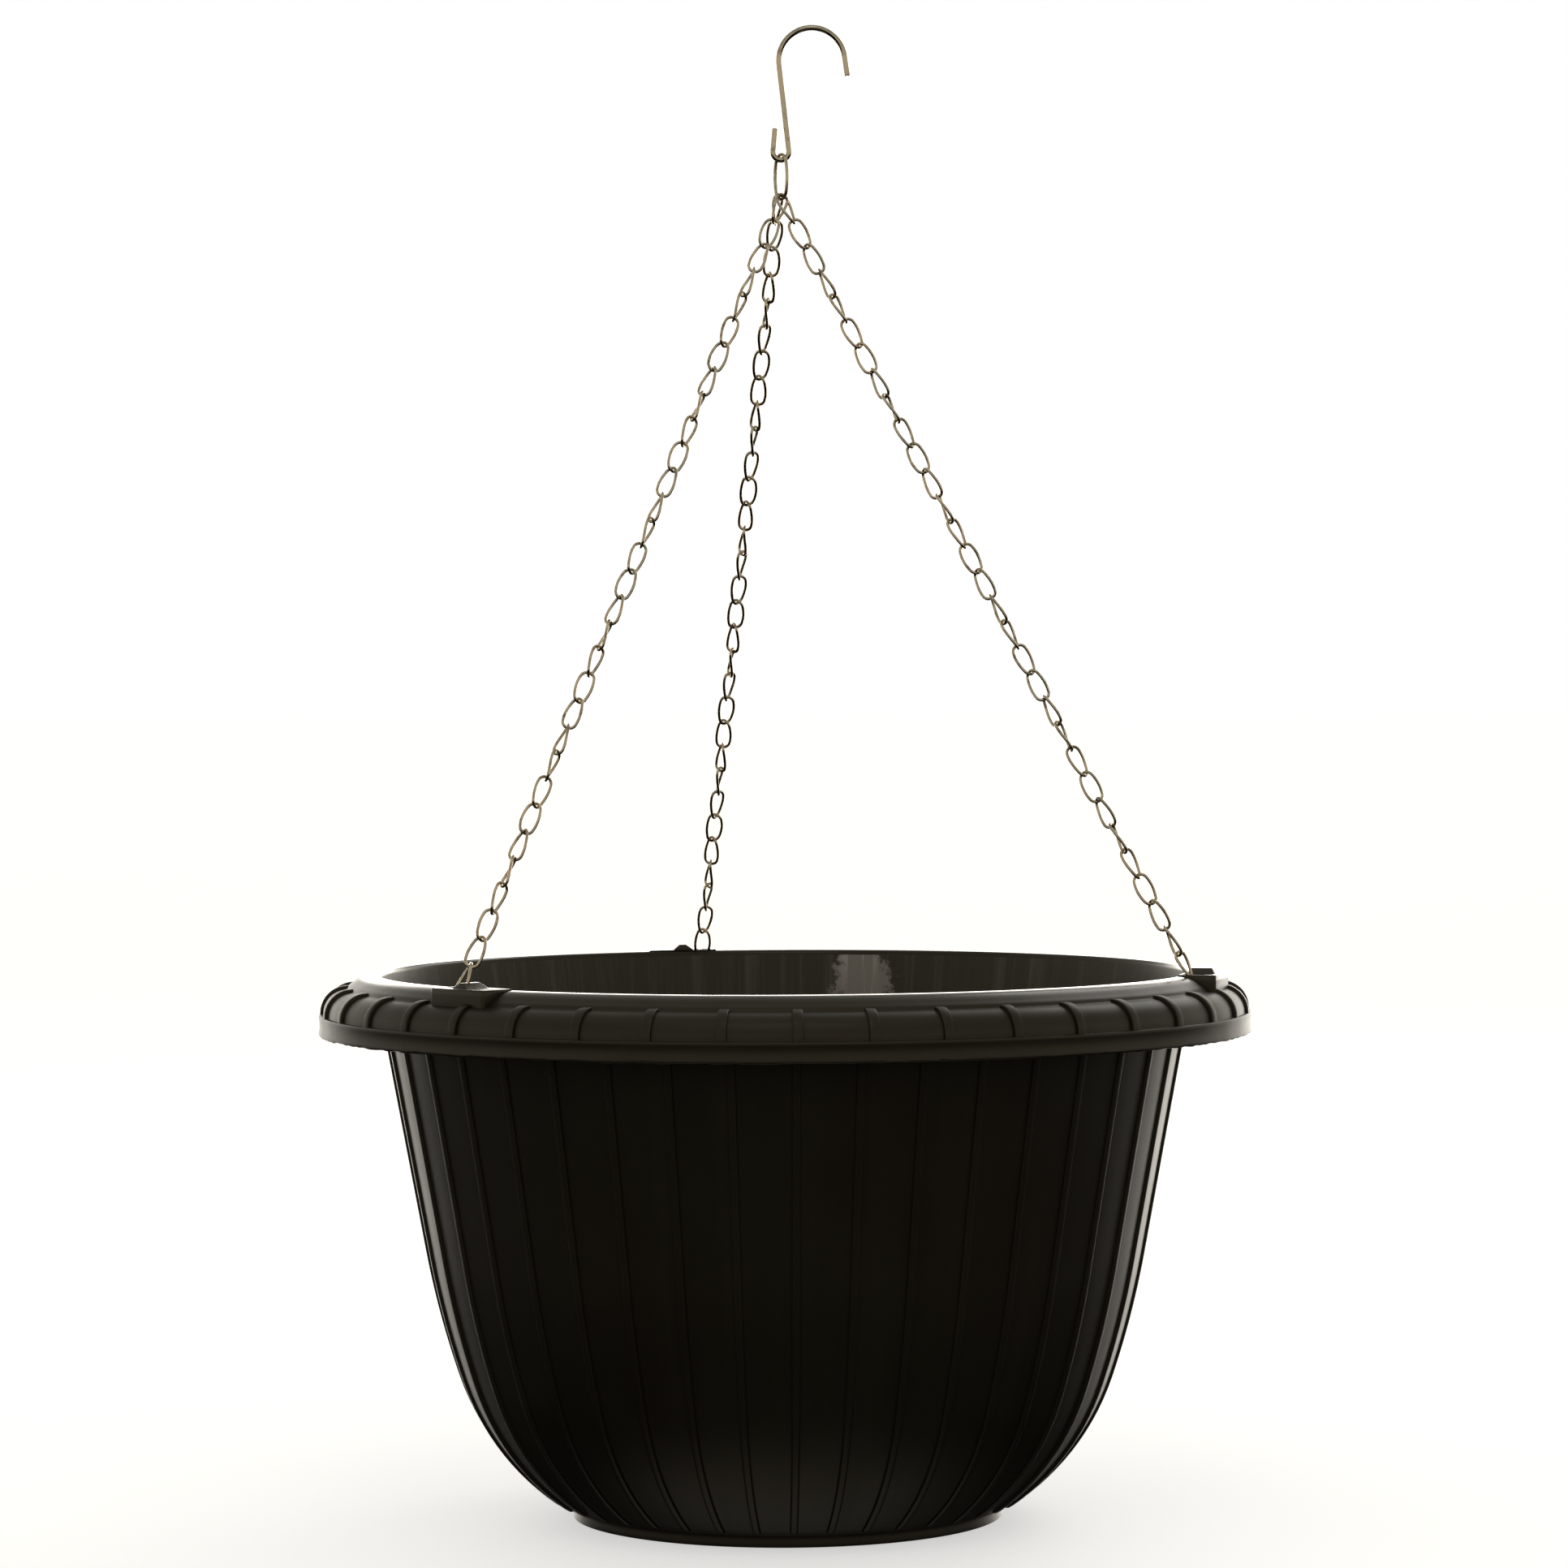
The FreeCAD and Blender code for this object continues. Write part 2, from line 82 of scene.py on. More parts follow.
SHOULDER_RIB_WIDTH = 3.6 * MM
SHOULDER_RIB_HEIGHT = 1.2 * MM
SHOULDER_RIB_ROUND = 0.35 * MM
SHOULDER_RIB_TAIL = 2.2 * MM
DRAIN_HOLES = 8
DRAIN_RADIUS = 4 * MM
DRAIN_CIRCLE = 58 * MM

# Where the camera stands and looks, the floor, and the bright side of the room
CAMERA_PLACE = (0.4920, -1.8621, 0.3109)
CAMERA_TURN = 14.8
CAMERA_DIP = 1.075
CAMERA_ROLL = -0.278
CAMERA_LENS = 117.53
FLOOR_RADIUS = 60
FLOOR_GAP = 0.2 * MM
BEHIND = (-0.215, 0.977, 0.0)

# Where and how the finishes change
SCUFF_PLACE = (-0.0070, 0.1465, 0.190)
SCUFF_RADIUS = 13 * MM
SCUFF_HEIGHT = 22 * MM
POLISH_START = 4.6 * MM
POLISH_FULL = 2.9 * MM
POLISHED_ROUGHNESS = 0.34
STREAK_SQUEEZE = 10.0
GRAIN_DEPTH = 0.08 * MM

# Small sizes of the chain anchors
ANCHORS = 3
ANCHOR_WIDTH = 25 * MM
ANCHOR_CAP_SIDE = 2.8 * MM
ANCHOR_OVERLAP = 2.1 * MM
ANCHOR_RISE = 0.5 * MM
ANCHOR_DEPTH = 14 * MM
ANCHOR_WALL = 1.5 * MM
ANCHOR_ROUND = 1.1 * MM
SLOT_WIDTH = 7.6 * MM
SLOT_LENGTH = 7.8 * MM
SLOT_SIDE_WALL = 1.2 * MM
SLOT_INNER_WALL = 1.7 * MM
PEG_RADIUS = 0.75 * MM
PEG_ENTRY = 1.6 * MM
CAP_HEIGHT = 2 * MM
CAP_LENGTH = 10.6 * MM
CAP_WIDTH = 8.8 * MM
CAP_RIDGE_LENGTH = 7.8 * MM
CAP_RIDGE_WIDTH = 2.1 * MM
CAP_LEAN = 0.4 * MM


# Sizes and colours a user may change


def length(name, description, default):
    return bpy.props.FloatProperty(
        name=name, description=description, default=default, unit="LENGTH", precision=4
    )


def angle(name, description, default):
    return bpy.props.FloatProperty(
        name=name, description=description, default=math.radians(default),
        subtype="ANGLE", unit="ROTATION",
    )


def colour(name, description, default):
    return bpy.props.FloatVectorProperty(
        name=name, description=description, default=default, size=3, min=0, max=1, subtype="COLOR"
    )


def share(name, description, default):
    return bpy.props.FloatProperty(
        name=name, description=description, default=default, min=0, max=1, subtype="FACTOR"
    )


class BasketSizes(bpy.types.PropertyGroup):
    lip_radius: length("Lip radius", "Outer face of the lip", BASKET[1].x)
    height: length("Height", "Underside of the foot to the crest of the bead", CREST_Z)
    wall: length("Wall", "Thickness of the side", 1.8 * MM)
    taper: angle("Taper", "Lean of the straight upper side", 10.5)
    bend_height: length("Bend height", "Where the side starts to curve in", 100.5 * MM)
    floor_taper: angle("Floor taper", "Lean of the side where it meets the foot", 57)
    foot_radius: length("Foot radius", "Outside of the foot ring", 81 * MM)
    rim_width: length("Rim width", "Inner face of the bead to the lip", 23.5 * MM)
    shoulder_radius: length("Shoulder radius", "Quarter-round between bead and lip", 9 * MM)
    lip_height: length("Lip height", "Height of the lip's outer face", 7.6 * MM)
    lip_hollow: length("Lip hollow", "How far the lip's face is drawn in at its middle", 0.35 * MM)
    ribs: bpy.props.IntProperty(name="Ribs", description="Ribs around the basket", default=41, min=3)
    rib_turn: angle("Rib turn", "Where the first rib stands, from +X", 5.3)
    rib_width: length("Rib width", "Width of a side rib", 3.0 * MM)
    rib_height: length("Rib height", "Height of a side rib over the side", 1.0 * MM)


class BasketFinish(bpy.types.PropertyGroup):
    plastic: colour("Plastic", "Colour of the moulded plastic", (0.0068, 0.0052, 0.0031))
    plastic_pale: colour("Worn plastic", "Colour where the plastic is rubbed", (0.045, 0.041, 0.035))
    film: colour("Film", "Dry film left inside by water", (0.19, 0.18, 0.165))
    scuff: colour("Scuff", "Chalky scratches where the inside is rubbed", (0.50, 0.46, 0.41))
    wire: colour("Wire", "Colour of the plated wire", (0.56, 0.46, 0.32))
    tarnish: colour("Tarnish", "Colour of the tarnish in the wire's hollows", (0.10, 0.062, 0.036))
    wear: share("Wear", "How much the plastic is rubbed", 0.1)


class StageLook(bpy.types.PropertyGroup):
    floor: colour("Floor", "Colour of the floor", (0.86, 0.86, 0.855))
    floor_glow: bpy.props.FloatProperty(
        name="Floor glow", description="Light that the floor gives off by itself", default=0.62, min=0
    )
    floor_bounce: bpy.props.FloatProperty(
        name="Floor bounce", description="Strength of the light from straight below",
        default=0.35, min=0,
    )
    back_light: bpy.props.FloatProperty(
        name="Back light", description="Strength of the bright wall behind", default=5.0, min=0
    )
    front_light: bpy.props.FloatProperty(
        name="Front light", description="Strength of the light from the rest of the room",
        default=0.74, min=0,
    )


# Edit-mode steps


def deselect():
    if bpy.context.object and bpy.context.object.mode != "OBJECT":
        bpy.ops.object.mode_set(mode="OBJECT")
    bpy.ops.object.select_all(action="DESELECT")


def edit(piece):
    deselect()
    piece.select_set(True)
    bpy.context.view_layer.objects.active = piece
    bpy.ops.object.mode_set(mode="EDIT")
    bpy.ops.mesh.select_all(action="DESELECT")


def object_mode():
    bpy.ops.object.mode_set(mode="OBJECT")


def settle(name):
    """Names the new primitive and puts its place into its mesh."""
    piece = bpy.context.object
    piece.name = name
    piece.data.name = name
    bpy.ops.object.transform_apply(location=True, rotation=True, scale=True)
    return piece


# Outlines in the XZ plane


def flat(x, z):
    return Vector((x, 0, z))


def heading(degrees):
    return flat(math.cos(math.radians(degrees)), math.sin(math.radians(degrees)))


def arc(start, corner, end, steps):
    """Stops after start along the arc that is tangent to both sides of the corner."""
    leave = corner - start
    arrive = end - corner
    turn = math.atan2(leave.x * arrive.z - leave.z * arrive.x, leave.dot(arrive))
    side = flat(-leave.z, leave.x).normalized() * math.copysign(1, turn)
    centre = start + side * (leave.length / math.tan(abs(turn) / 2))
    arm = start - centre
    stops = []
    for i in range(1, steps + 1):
        a = turn * i / steps
        stops.append(centre + flat(
            arm.x * math.cos(a) - arm.z * math.sin(a), arm.x * math.sin(a) + arm.z * math.cos(a)
        ))
    return stops


def two_arcs(start, leave, end, arrive, ratio, steps):
    """Two tangent arcs that leave start and arrive at end in the given directions."""
    chord = end - start
    reach = leave * ratio + arrive
    square = 2 * ratio * (1 - leave.dot(arrive))
    linear = 2 * chord.dot(reach)
    second = (math.sqrt(linear**2 + 4 * square * chord.dot(chord)) - linear) / (2 * square)
    corner_1 = start + leave * (ratio * second)
    corner_2 = end - arrive * second
    joint = corner_1 + (corner_2 - corner_1) * (ratio / (1 + ratio))
    return arc(start, corner_1, joint, steps) + arc(joint, corner_2, end, steps)


def straight(start, end, steps):
    return [start.lerp(end, i / steps) for i in range(1, steps + 1)]


def side_x(sizes, z):
    """Radius of the straight outer side at a height."""
    inner_top = sizes.lip_radius - sizes.rim_width
    return inner_top + sizes.wall / math.cos(sizes.taper) + (z - INNER_Z) * math.tan(sizes.taper)


def curved_side(sizes):
    """Stops up the curved outside, from just over the foot to where the side runs straight."""
    low = flat(sizes.foot_radius + FOOT_STEP, FOOT_HEIGHT + FOOT_STEP_RISE)
    bend = flat(side_x(sizes, sizes.bend_height), sizes.bend_height)
    leave = heading(90 - math.degrees(sizes.floor_taper))
    arrive = heading(90 - math.degrees(sizes.taper))
    return [low] + two_arcs(low, leave, bend, arrive, BEND_SHARE, BEND_STEPS)


def inward(outer, low_lean, lean, wall):
    """The inside of the curved side, a wall's thickness from its outside."""
    inner = []
    for i, stop in enumerate(outer):
        ahead = outer[min(i + 1, len(outer) - 1)] - outer[max(i - 1, 0)]
        if i == 0:
            ahead = heading(90 - low_lean)
        if i == len(outer) - 1:
            ahead = heading(90 - lean)
        inner.append(stop + flat(-ahead.z, ahead.x).normalized() * wall)
    return inner


def basket_outline(sizes):
    """The basket's wall cut through, from under the floor out, up, over the rim and back inside."""
    wall = sizes.wall
    crest_z = sizes.height
    groove_z = crest_z - BEAD_RISE
    under_z = groove_z - wall
    shoulder_z = groove_z - sizes.shoulder_radius
    shoulder_x = sizes.lip_radius - LIP_STEP - sizes.shoulder_radius
    lip_top = shoulder_z - LIP_DROP
    lip_bottom = lip_top - sizes.lip_height
    inner_top = sizes.lip_radius - sizes.rim_width
    lean = math.degrees(sizes.taper)
    low_lean = math.degrees(sizes.floor_taper)
    foot_inner = sizes.foot_radius - FOOT_WALL
    outer = curved_side(sizes)
    outer_start, outer_end = outer[0], outer[-1]
    inner = inward(outer, low_lean, lean, wall)
    floor_top = FOOT_RECESS + FLOOR_WALL
    floor_edge = inner[0].x - (inner[0].z - floor_top) * math.tan(sizes.floor_taper)
    stops = [flat(0, FOOT_RECESS)]
    stops += straight(stops[-1], flat(foot_inner - FOOT_SLOPE, FOOT_RECESS), 6)
    stops += straight(stops[-1], flat(foot_inner - 0.2 * MM, 0.3 * MM), 2)
    stops += [flat(foot_inner + 0.2 * MM, 0), flat(sizes.foot_radius - 0.5 * MM, 0)]
    stops += arc(stops[-1], flat(sizes.foot_radius, 0), flat(sizes.foot_radius, 0.5 * MM), 3)
    stops += straight(stops[-1], flat(sizes.foot_radius, FOOT_HEIGHT - 0.4 * MM), 3)
    stops += arc(
        stops[-1], flat(sizes.foot_radius, FOOT_HEIGHT), flat(sizes.foot_radius + 0.5 * MM, FOOT_HEIGHT), 2
    )
    stops += [outer_start + flat(-0.5 * MM, -0.1 * MM)]
    stops += outer
    stops += straight(outer_end, flat(side_x(sizes, under_z - 0.7 * MM), under_z - 0.7 * MM), 10)
    # underside of the rim
    under = sizes.shoulder_radius - wall
    top_of_side = flat(side_x(sizes, under_z), under_z)
    stops += arc(stops[-1], top_of_side, top_of_side + flat(0.7 * MM, 0), 3)
    stops += straight(stops[-1], flat(shoulder_x, under_z), 2)
    stops += arc(
        stops[-1], flat(shoulder_x + under, under_z), flat(shoulder_x + under, shoulder_z), 6
    )
    lip_inner = sizes.lip_radius - LIP_WALL
    stops += straight(stops[-1], flat(shoulder_x + under, lip_top - wall / 2), 1)
    stops += straight(stops[-1], flat(lip_inner, lip_top - wall), 1)
    stops += straight(stops[-1], flat(lip_inner, lip_bottom + LIP_ROUND), 3)
    stops += straight(stops[-1], flat(lip_inner + LIP_ROUND / 2, lip_bottom), 1)
    # the lip's face, drawn in a little at its middle
    stops += [flat(sizes.lip_radius - LIP_ROUND, lip_bottom)]
    face_low = flat(sizes.lip_radius, lip_bottom + LIP_ROUND)
    face_high = flat(sizes.lip_radius, lip_top - LIP_ROUND)
    stops += arc(stops[-1], flat(sizes.lip_radius, lip_bottom), face_low, 4)
    for i in range(1, 8):
        part = i / 8
        drawn = sizes.lip_hollow * math.sin(math.pi * part)
        stops += [face_low.lerp(face_high, part) - flat(drawn, 0)]
    stops += [face_high]
    shoulder_foot = flat(shoulder_x + sizes.shoulder_radius, shoulder_z)
    ledge = flat(sizes.lip_radius - LIP_ROUND, lip_top)
    stops += arc(face_high, flat(sizes.lip_radius, lip_top), ledge, 3)
    stops += [flat(shoulder_foot.x + 0.3 * MM, lip_top)]
    stops += arc(stops[-1], flat(shoulder_foot.x, lip_top), flat(shoulder_foot.x, lip_top + 0.3 * MM), 2)
    stops += [shoulder_foot]
    # shoulder, groove and bead
    groove = flat(shoulder_x, groove_z)
    stops += arc(shoulder_foot, flat(shoulder_foot.x, groove_z), groove, 10)[:-1]
    knee = flat(shoulder_x - BEAD_KNEE_IN, crest_z - BEAD_KNEE_DROP)
    crest = flat(inner_top + BEAD_CREST_IN, crest_z)
    run = knee.x - crest.x
    bead_radius = (run**2 + BEAD_KNEE_DROP**2) / (2 * BEAD_KNEE_DROP)
    bead_turn = math.asin(run / bead_radius)
    rise = two_arcs(
        groove, heading(180 - BEAD_FOOT_SLOPE), knee, heading(180 - math.degrees(bead_turn)), 1, 4
    )
    stops += [groove + flat(0.55 * MM, 0.03 * MM), groove + flat(0.15 * MM, 0.2 * MM)] + rise
    stops += arc(knee, crest + flat(bead_radius * math.tan(bead_turn / 2), 0), crest, 6)
    stops += arc(crest, flat(inner_top, crest_z), flat(inner_top, INNER_Z), 5)
    # inside
    stops += straight(flat(inner_top, INNER_Z), inner[-1], 10)
    stops += inner[-2::-1]
    stops += straight(inner[0], flat(floor_edge, floor_top), 1)
    stops += straight(flat(floor_edge, floor_top), flat(0, floor_top), 6)
    return stops


# Modelling steps for the moulding


def drawn(name, stops):
    """An outline drawn by extruding one corner from stop to stop."""
    deselect()
    bpy.ops.mesh.primitive_plane_add(size=MM, location=stops[0])
    piece = settle(name)
    edit(piece)
    bpy.ops.mesh.select_all(action="SELECT")
    bpy.ops.mesh.merge(type="CENTER")
    for here, there in zip(stops, stops[1:]):
        bpy.ops.mesh.extrude_vertices_move(TRANSFORM_OT_translate={"value": there - here})
    return piece


def spun(piece, steps, copies=False):
    """Turns what is drawn about the basket's axis, as one skin or as copies."""
    bpy.ops.mesh.select_all(action="SELECT")
    bpy.ops.mesh.spin(steps=steps, angle=TURN, dupli=copies, center=(0, 0, 0), axis=(0, 0, 1))
    bpy.ops.mesh.select_all(action="SELECT")
    bpy.ops.mesh.remove_doubles(threshold=0.01 * MM)
    bpy.ops.mesh.normals_make_consistent(inside=False)


def swept(name, width, low, high, corner, stops, tilts):
    """A bar with two rounded outer corners, extruded from stop to stop and tilted at each."""
    deselect()
    bpy.ops.mesh.primitive_plane_add(size=1, location=stops[0])
    piece = bpy.context.object
    piece.scale = (high - low, width, 1)
    bpy.ops.object.transform_apply(location=False, rotation=False, scale=True)
    piece = settle(name)
    edit(piece)
    bpy.ops.mesh.select_all(action="SELECT")
    bpy.ops.transform.translate(value=((high + low) / 2, 0, 0))
    pick(piece, lambda place: place.x > stops[0].x + high - 0.01 * MM, "VERT")
    bpy.ops.mesh.bevel(offset=corner, segments=3, affect="VERTICES")
    bpy.ops.mesh.select_all(action="SELECT")
    turn_about(stops[0], tilts[0])
    for i in range(1, len(stops)):
        bpy.ops.mesh.extrude_region_move(TRANSFORM_OT_translate={"value": stops[i] - stops[i - 1]})
        turn_about(stops[i], tilts[i] - tilts[i - 1])
    bpy.ops.mesh.select_all(action="SELECT")
    bpy.ops.mesh.normals_make_consistent(inside=False)
    return piece


def turn_about(place, degrees, axis="Y"):
    bpy.ops.transform.rotate(value=math.radians(degrees), orient_axis=axis, center_override=place)


def pick(piece, test, kind="VERT"):
    """Selects the corners, edges or faces whose middle passes the test."""
    bpy.ops.mesh.select_mode(type=kind)
    bpy.ops.mesh.select_all(action="DESELECT")
    bpy.ops.object.mode_set(mode="OBJECT")
    mesh = piece.data
    corners = mesh.vertices
    if kind == "VERT":
        for corner in corners:
            corner.select = test(corner.co)
    elif kind == "EDGE":
        for side in mesh.edges:
            side.select = test((corners[side.vertices[0]].co + corners[side.vertices[1]].co) / 2)
    else:
        for face in mesh.polygons:
            face.select = test(face.center)
    bpy.ops.object.mode_set(mode="EDIT")


def combine(piece, tool, operation):
    """Joins a closed shape to the piece or cuts it away, and removes the shape."""
    deselect()
    piece.select_set(True)
    bpy.context.view_layer.objects.active = piece
    bpy.ops.object.modifier_add(type="BOOLEAN")
    modifier = piece.modifiers[-1]
    modifier.operation = operation
    modifier.solver = "EXACT"
    modifier.object = tool
    bpy.ops.object.modifier_apply(modifier=modifier.name)
    deselect()
    tool.select_set(True)
    bpy.ops.object.delete()


# The moulding's own features


def side_line(sizes):
    """Stops up the outside of the side, from the foot to the underside of the rim."""
    bend = flat(side_x(sizes, sizes.bend_height), sizes.bend_height)
    under_z = sizes.height - BEAD_RISE - sizes.wall
    top = flat(side_x(sizes, under_z + RIB_TUCK), under_z + RIB_TUCK)
    return curved_side(sizes) + straight(bend, top, 8)


def leans(stops):
    """Tilt of a bar's section at each stop, square to the line."""
    tilts = []
    for i in range(len(stops)):
        ahead = stops[min(i + 1, len(stops) - 1)] - stops[max(i - 1, 0)]
        tilts.append(math.degrees(math.atan2(ahead.z, ahead.x)) - 90)
    return tilts


def side_ribs(sizes):
    stops = side_line(sizes)
    tilts = leans(stops)
    # the lower end runs out into the side
    first = stops[0].lerp(stops[1], 0.35)
    stops[0] = first - heading(tilts[0]) * sizes.rib_height * 0.8
    stops.insert(1, first.lerp(stops[1], 0.3) - heading(tilts[0]) * sizes.rib_height * 0.15)
    tilts.insert(1, tilts[0])
    rib = swept(
        "side_ribs", sizes.rib_width, -RIB_SINK, sizes.rib_height, RIB_ROUND, stops, tilts
    )
    repeated(sizes.ribs, sizes.rib_turn)
    return rib


def shoulder_ribs(sizes):
    groove_z = sizes.height - BEAD_RISE
    centre = flat(sizes.lip_radius - LIP_STEP - sizes.shoulder_radius, groove_z - sizes.shoulder_radius)
    turns = [90 * i / 10 for i in range(11)]
    stops = [centre + flat(sizes.shoulder_radius, -LIP_DROP - 0.3 * MM)]
    stops += [centre + heading(turn) * sizes.shoulder_radius for turn in turns]
    stops += [stops[-1] - flat(SHOULDER_RIB_TAIL, 0)]
    tilts = [0] + turns + [90]
    rib = swept(
        "shoulder_ribs", SHOULDER_RIB_WIDTH, -RIB_SINK, SHOULDER_RIB_HEIGHT, SHOULDER_RIB_ROUND,
        stops, tilts,
    )
    repeated(sizes.ribs, sizes.rib_turn)
    return rib


def repeated(count, start=0.0):
    """Copies of what is drawn, all round the basket's axis from a start angle."""
    bpy.ops.mesh.select_all(action="SELECT")
    turn_about((0, 0, 0), -math.degrees(start), "Z")
    bpy.ops.mesh.spin(
        steps=count - 1, angle=TURN * (count - 1) / count, dupli=True, center=(0, 0, 0), axis=(0, 0, 1)
    )
    bpy.ops.mesh.select_all(action="SELECT")
    object_mode()


def block(name, low, high):
    """A block between two corners, left in edit mode."""
    deselect()
    low, high = Vector(low), Vector(high)
    bpy.ops.mesh.primitive_cube_add(size=1, location=(low + high) / 2, scale=high - low)
    piece = settle(name)
    edit(piece)
    return piece


def anchor_places(sizes):
    """Heights and distances that the anchors' shapes share."""
    crest_x = sizes.lip_radius - sizes.rim_width + BEAD_CREST_IN
    top = sizes.height + ANCHOR_RISE
    face = sizes.lip_radius - LIP_STEP - sizes.shoulder_radius + ANCHOR_OVERLAP
    slot_start = sizes.lip_radius - sizes.rim_width + SLOT_INNER_WALL
    slot_y = -(ANCHOR_WIDTH / 2 - SLOT_SIDE_WALL - SLOT_WIDTH / 2)
    return crest_x, top, face, slot_start, slot_y


def anchor_housings(sizes):
    """The boxes on the rim that the chains hook into."""
    crest_x, top, face, _, _ = anchor_places(sizes)
    half = ANCHOR_WIDTH / 2
    low = top - ANCHOR_DEPTH
    housing = block(
        "anchor_housings", (crest_x - 1 * MM, -half, low), (face, half + ANCHOR_CAP_SIDE, top)
    )
    pick(housing, lambda place: place.x > face - 0.1 * MM and abs(place.y) > half - 0.1 * MM, "EDGE")
    bpy.ops.mesh.bevel(offset=ANCHOR_ROUND, segments=4)
    pick(housing, lambda place: place.z > top - 0.1 * MM and place.x > crest_x, "EDGE")
    bpy.ops.mesh.bevel(offset=ANCHOR_ROUND * 0.55, segments=3)
    repeated(ANCHORS)
    return housing


def anchor_roots(sizes):
    """What is left of the housings on the inner side of the bead."""
    crest_x, top, _, _, _ = anchor_places(sizes)
    half = ANCHOR_WIDTH / 2 - 0.05 * MM
    inner = sizes.lip_radius - sizes.rim_width - 0.3 * MM
    low = top - ANCHOR_DEPTH + 0.05 * MM
    high = sizes.height - BEAD_RISE
    root = block("anchor_roots", (inner, -half, low), (crest_x, half + ANCHOR_CAP_SIDE, high))
    pick(root, lambda place: place.x < inner + 0.1 * MM, "EDGE")
    bpy.ops.mesh.bevel(offset=0.25 * MM, segments=2)
    repeated(ANCHORS)
    return root


def anchor_caps(sizes):
    """Hipped caps beside the slots: blocks whose tops are drawn in to a ridge."""
    _, top, face, slot_start, slot_y = anchor_places(sizes)
    middle = (slot_start + face - ANCHOR_WALL) / 2
    y = slot_y + (SLOT_WIDTH + CAP_WIDTH) / 2 + 0.1 * MM
    cap = block(
        "anchor_caps",
        (middle - CAP_LENGTH / 2, y - CAP_WIDTH / 2, top - 0.2 * MM),
        (middle + CAP_LENGTH / 2, y + CAP_WIDTH / 2, top + CAP_HEIGHT),
    )
    pick(cap, lambda place: place.z > top + CAP_HEIGHT - 0.1 * MM, "FACE")
    bpy.ops.transform.resize(
        value=(CAP_RIDGE_LENGTH / CAP_LENGTH, CAP_RIDGE_WIDTH / CAP_WIDTH, 1),
        center_override=(middle, y - CAP_LEAN, top + CAP_HEIGHT),
    )
    pick(cap, lambda place: place.z > top, "EDGE")
    bpy.ops.mesh.bevel(offset=0.22 * MM, segments=2)
    repeated(ANCHORS)
    return cap


def anchor_hollows(sizes):
    """What is cut from the anchors: the slot with its pocket, and the hollow under the cap."""
    _, top, face, slot_start, slot_y = anchor_places(sizes)
    low = top - ANCHOR_DEPTH
    left, right = slot_y - SLOT_WIDTH / 2, slot_y + SLOT_WIDTH / 2
    end = face - ANCHOR_WALL
    slot = block(
        "slot",
        (slot_start, left, low + ANCHOR_WALL),
        (slot_start + SLOT_LENGTH, right, top + 1.5 * MM),
    )
    pick(slot, lambda place: abs(place.z - top) < 4 * MM, "EDGE")
    bpy.ops.mesh.bevel(offset=0.5 * MM, segments=2)
    repeated(ANCHORS)
    pocket = block(
        "pocket",
        (slot_start + 0.05 * MM, left + 0.02 * MM, low + ANCHOR_WALL + 0.05 * MM),
        (end, right - 0.02 * MM, top - ANCHOR_WALL),
    )
    repeated(ANCHORS)
    core = block(
        "core",
        (slot_start + 0.6 * MM, right + ANCHOR_WALL, low - 1.5 * MM),
        (end, ANCHOR_WIDTH / 2 + ANCHOR_CAP_SIDE - ANCHOR_WALL, top - ANCHOR_WALL),
    )
    repeated(ANCHORS)
    return [slot, pocket, core]


def anchor_pegs(sizes):
    """The pegs across the pockets, which the chains' end links hang on."""
    _, top, face, slot_start, slot_y = anchor_places(sizes)
    start, end = slot_start + PEG_ENTRY, face - ANCHOR_WALL / 2
    deselect()
    bpy.ops.mesh.primitive_cylinder_add(
        vertices=20, radius=PEG_RADIUS, depth=end - start,
        location=((start + end) / 2, slot_y, top - PEG_RADIUS - 0.1 * MM), rotation=(0, math.radians(90), 0),
    )
    peg = settle("anchor_pegs")
    edit(peg)
    pick(peg, lambda place: place.x < start + 0.01 * MM, "EDGE")
    bpy.ops.mesh.bevel(offset=0.3 * MM, segments=3)
    repeated(ANCHORS)
    return peg


def drain_holes(sizes):
    deselect()
    bpy.ops.mesh.primitive_cylinder_add(
        vertices=32, radius=DRAIN_RADIUS, depth=4 * FLOOR_WALL,
        location=(DRAIN_CIRCLE, 0, FOOT_RECESS + FLOOR_WALL / 2),
    )
    hole = settle("drain_holes")
    edit(hole)
    repeated(DRAIN_HOLES)
    return hole


def roughen_lip(piece, sizes):
    """The lip's lower edge as the mould left it, not quite even."""
    low = sizes.height - BEAD_RISE - sizes.shoulder_radius - LIP_DROP - sizes.lip_height
    edit(piece)
    pick(piece, lambda place: (
        place.z < low + 0.5 * MM and place.z > low - MM and place.xy.length > sizes.lip_radius - 1.6 * MM
    ))
    piece.vertex_groups.new(name="lip_edge")
    bpy.ops.object.vertex_group_assign()
    object_mode()
    texture = bpy.data.textures.new("lip_edge", "CLOUDS")
    texture.noise_scale = 3.2 * MM
    texture.noise_depth = 2
    bpy.ops.object.modifier_add(type="DISPLACE")
    modifier = piece.modifiers[-1]
    modifier.texture = texture
    modifier.vertex_group = "lip_edge"
    modifier.direction = "Z"
    modifier.strength = 1.1 * MM
    modifier.mid_level = 0.5
    bpy.ops.object.modifier_apply(modifier=modifier.name)


def inside_of(sizes):
    """A test for places on the inside of the wall."""
    line = side_line(sizes)

    def test(place):
        reach = place.xy.length
        if place.z > INNER_Z:
            return False
        if place.z < line[1].z:
            return reach < line[0].x - 3 * MM and place.z > FOOT_RECESS + FLOOR_WALL * 0.6
        for below, above in zip(line, line[1:]):
            if below.z <= place.z <= above.z:
                part = (place.z - below.z) / (above.z - below.z)
                return reach < below.lerp(above, part).x - 1.3 * MM
        return reach < sizes.lip_radius - sizes.rim_width + 0.4 * MM

    return test


